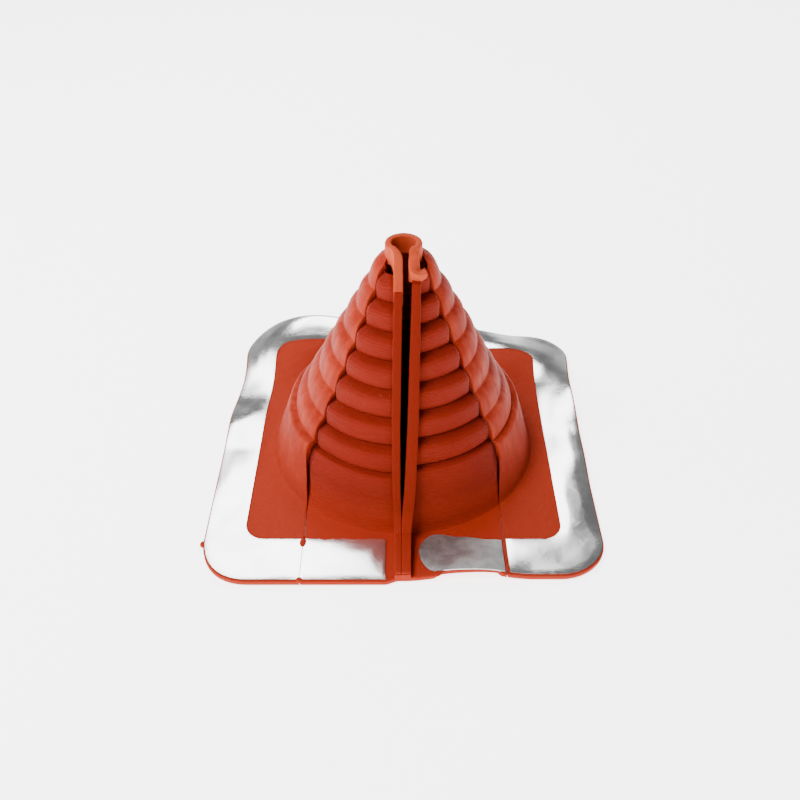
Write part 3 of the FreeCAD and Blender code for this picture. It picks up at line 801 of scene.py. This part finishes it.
def silicone_finish(dust, name, deep, pale, ringed, streaked, lips=None):
    """Satin moulded silicone, a little translucent, with turning lines, drawn streaks and dust.

    With a tone for lips it is the seam panels' finish, which turns paler on the flange as painted light and
    darker along the joint as painted shade. Without one, the streaks also show in its tint as painted
    highlight streaks.
    """
    material, tree, shader, place = new_finish(name)
    for socket, value in {"Subsurface Weight": 0.1, "Subsurface Radius": (1.0, 0.22, 0.1),
                          "Subsurface Scale": 0.003, "Specular IOR Level": 0.06,
                          "Specular Tint": (1.0, 0.42, 0.26, 1)}.items():
        shader.inputs[socket].default_value = value
    across = add_node(tree, "ShaderNodeSeparateXYZ", _Vector=place).outputs
    cloud = noise(tree, place, 28.0, 6.0, 0.62)
    stretched = add_node(tree, "ShaderNodeVectorMath", operation="MULTIPLY", _Vector=place)
    stretched.inputs[1].default_value = (1.0, 1.0, 0.12)
    streaks = noise(tree, stretched.outputs["Vector"], 110.0, 4.0, 0.6)
    from_middle = calculate(tree, "ABSOLUTE", calculate(tree, "ADD", across["X"], -LIPS_MIDDLE))
    off_lips = spread(tree, from_middle, *LIPS_BAND)

    tinted = cloud
    if not lips:
        # Painted highlight and shade: the tint runs paler and darker in vertical streaks up the cone.
        painted_highlight_streaks = spread(tree, streaks, 0.4, 0.68, -0.45, 0.5)
        on_cone = spread(tree, across["Z"], 0.008, 0.03)
        tinted = calculate(tree, "MULTIPLY_ADD", painted_highlight_streaks, on_cone, 0.45)
    colour = mix_colour(tree, tinted, (*deep, 1), (*pale, 1))
    colour = dusted(tree, dust, colour, 620.0, 0.35, (0.78, 0.42, 0.34, 1))
    if lips:
        colour = mix_colour(tree, off_lips, (*lips, 1), colour)
        # Painted light: the panels' up-facing flange gets a paler colour than their cone.
        painted_flange_light = spread(tree, across["Z"], 0.022, 0.003)
        colour = mix_colour(tree, painted_flange_light, colour, (0.33, 0.025, 0.010, 1))
        # Painted shade: the panel turns nearly black towards the joint, in the groove beside the main
        # moulding.
        turn = calculate(tree, "ARCTAN2", calculate(tree, "ABSOLUTE", across["X"]),
                         calculate(tree, "MULTIPLY", across["Y"], -1.0))
        painted_joint_shade = spread(tree, turn, JOINT_AZIMUTH - 0.085, JOINT_AZIMUTH - 0.045, 0.0, 0.75)
        colour = mix_colour(tree, painted_joint_shade, colour, (0.06, 0.004, 0.003, 1))
    feed(tree, shader.inputs["Base Color"], colour)

    lines = add_node(tree, "ShaderNodeTexWave", wave_type="BANDS", bands_direction="Z", _Vector=place,
                     _Scale=185.0, _Distortion=5.0, _Detail=4.0, _Detail_Scale=1.2).outputs["Fac"]
    feed(tree, shader.inputs["Normal"], relief(tree, [
        (ringed, 0.0004, calculate(tree, "MULTIPLY", lines, off_lips)),
        (streaked, 0.0012, streaks),
        (0.22, 0.00012, noise(tree, place, 1500.0, 3.0))]))
    feed(tree, shader.inputs["Roughness"], spread(tree, cloud, 0.3, 0.7, 0.48, 0.64))
    return material


def aluminium_finish(dust, name, dull, smooth, rough, metallic, patch_scale):
    """Handled soft aluminium sheet: hollows, scuffs, dust and hazy patches."""
    material, tree, shader, place = new_finish(name)
    shader.inputs["Metallic"].default_value = metallic
    cloud = noise(tree, place, patch_scale, 7.0, 0.6)
    colour = mix_colour(tree, spread(tree, cloud, 0.4, 0.62), (0.70 - dull, 0.705 - dull, 0.71 - dull, 1),
                        (0.95 - dull, 0.95 - dull, 0.94 - dull, 1))
    feed(tree, shader.inputs["Base Color"], dusted(tree, dust, colour, 480.0, 0.45, (0.42, 0.40, 0.39, 1)))
    feed(tree, shader.inputs["Roughness"], spread(tree, cloud, 0.35, 0.65, smooth, rough))
    feed(tree, shader.inputs["Normal"], relief(tree, [
        (0.12, 0.002, noise(tree, place, 26.0, 2.0, 0.4)),
        (0.25, 0.0002, noise(tree, place, 480.0, 6.0, 0.7))]))
    return material


# Studio


def lamp(name, place, width, power, height=None):
    """Soft light aimed at the part."""
    light = bpy.data.lights.new(name, "AREA")
    light.energy = power
    light.shape = "RECTANGLE"
    light.size = width
    light.size_y = height or width
    holder = bpy.data.objects.new(name, light)
    holder.location = place
    holder.rotation_euler = Vector([-part for part in place]).to_track_quat("-Z", "Y").to_euler()
    bpy.context.scene.collection.objects.link(holder)
    return holder


def pale_floor():
    """Bright floor, which stays dark where the hollow cone stands over it."""
    bpy.ops.mesh.primitive_plane_add(size=12, location=(0, 0, -0.0006))
    floor = bpy.context.object
    floor.name = "floor"
    paint, tree, shader, place = new_finish("pale_floor")
    shader.inputs["Roughness"].default_value = 0.9
    shader.inputs["Emission Strength"].default_value = 4.0
    distance = add_node(tree, "ShaderNodeVectorMath", operation="LENGTH", _Vector=place).outputs["Value"]
    open_floor = spread(tree, distance, *SHADED_FLOOR)
    feed(tree, shader.inputs["Emission Color"], open_floor)
    feed(tree, shader.inputs["Base Color"],
         mix_colour(tree, open_floor, (0.05, 0.02, 0.02, 1), (0.93, 0.93, 0.93, 1)))
    floor.data.materials.append(paint)


def pale_room():
    """Surroundings that are bright near the horizon and dim above, so that the aluminium turns grey."""
    world = bpy.data.worlds.new("pale_room")
    bpy.context.scene.world = world
    world.use_nodes = True
    tree = world.node_tree
    background = tree.nodes["Background"]
    background.inputs["Strength"].default_value = 1.0
    direction = add_node(tree, "ShaderNodeTexCoord").outputs["Generated"]
    height = add_node(tree, "ShaderNodeSeparateXYZ", _Vector=direction).outputs["Z"]
    glow = add_node(tree, "ShaderNodeMapRange", interpolation_type="SMOOTHSTEP", _Value=height,
                    _From_Min=0.02, _From_Max=0.45, _To_Min=1.6, _To_Max=0.13)
    feed(tree, background.inputs["Color"], glow.outputs["Result"])


def studio():
    """Floor and room, a key light at the front left, a weak one from the left and a wide one behind."""
    pale_floor()
    pale_room()
    lamp("key_light", (-0.55, -0.33, 1.12), 0.6, 20.0).visible_glossy = False
    lamp("side_light", (-1.2, -0.1, 0.6), 0.6, 5.0).visible_glossy = False
    lamp("back_light", (-0.20, 0.90, 1.10), 0.95, 14.0, 0.5)


def camera():
    data = bpy.data.cameras.new("camera")
    data.lens = CAMERA_LENS
    data.sensor_width = CAMERA_SENSOR
    data.clip_start = 0.01
    holder = bpy.data.objects.new("camera", data)
    holder.location = CAMERA_PLACE
    holder.rotation_euler = (math.radians(90 - CAMERA_PITCH), 0, 0)
    bpy.context.scene.collection.objects.link(holder)
    bpy.context.scene.camera = holder


# The boot


def dressed(piece, material):
    piece.data.materials.append(material)
    return piece


dust = dust_group()
main_silicone = silicone_finish(
    dust, "main_silicone", deep=(0.265, 0.018, 0.007), pale=(0.40, 0.042, 0.019), ringed=0.05, streaked=0.85)
# Painted shade: the seam panels take a darker copy of the silicone's colours, for their recessed,
# front-facing cone.
shaded_panel_silicone = silicone_finish(
    dust, "shaded_panel_silicone", deep=(0.150, 0.009, 0.005), pale=(0.22, 0.017, 0.009), ringed=0.28,
    streaked=0.15, lips=(0.165, 0.011, 0.005))
# Painted light: the collar, part of the main moulding, takes paler colours for its up-facing top and ears.
lit_collar_silicone = silicone_finish(
    dust, "lit_collar_silicone", deep=(0.41, 0.050, 0.018), pale=(0.50, 0.068, 0.025), ringed=0.03, streaked=0.1)
aluminium = aluminium_finish(
    dust, "soft_aluminium", dull=0.0, smooth=0.12, rough=0.24, metallic=0.94, patch_scale=42.0)
scuffed_aluminium = aluminium_finish(
    dust, "scuffed_aluminium", dull=0.33, smooth=0.42, rough=0.66, metallic=0.85, patch_scale=125.0)

boot = join("boot_moulding_skin", dressed(main_shell(), main_silicone),
            dressed(collar_band(), lit_collar_silicone),
            dressed(moulding_flash("edge_nub", (-107.9, -84.0, 2.0), (1.9, 2.2, 1.5)), main_silicone))
left_panel, right_panel = LEFT_PANEL.build(), RIGHT_PANEL.build()
left_panel = join("left_panel_skin", left_panel,
                  moulding_flash("joint_drip", (-54.0, -84.3, 4.0), (1.9, 3.3, 0.8)),
                  moulding_flash("joint_nub", (-54.0, -109.2, 2.9), (2.0, 1.5, 1.9)))
mouldings = {
    "boot_moulding": boot,
    "seam_panel_left": dressed(left_panel, shaded_panel_silicone),
    "seam_panel_right": dressed(right_panel, shaded_panel_silicone),
}
strips = {
    "edge_strip_main": dressed(main_strip(), aluminium),
    "edge_strip_front_left": dressed(front_strip_left(), aluminium),
    "edge_strip_front_right": dressed(front_strip_right(), scuffed_aluminium),
}
for node, piece in mouldings.items():
    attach(piece, "root")
    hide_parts(node)
for node, piece in strips.items():
    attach(piece, "root")
    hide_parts(node)

studio()
camera()
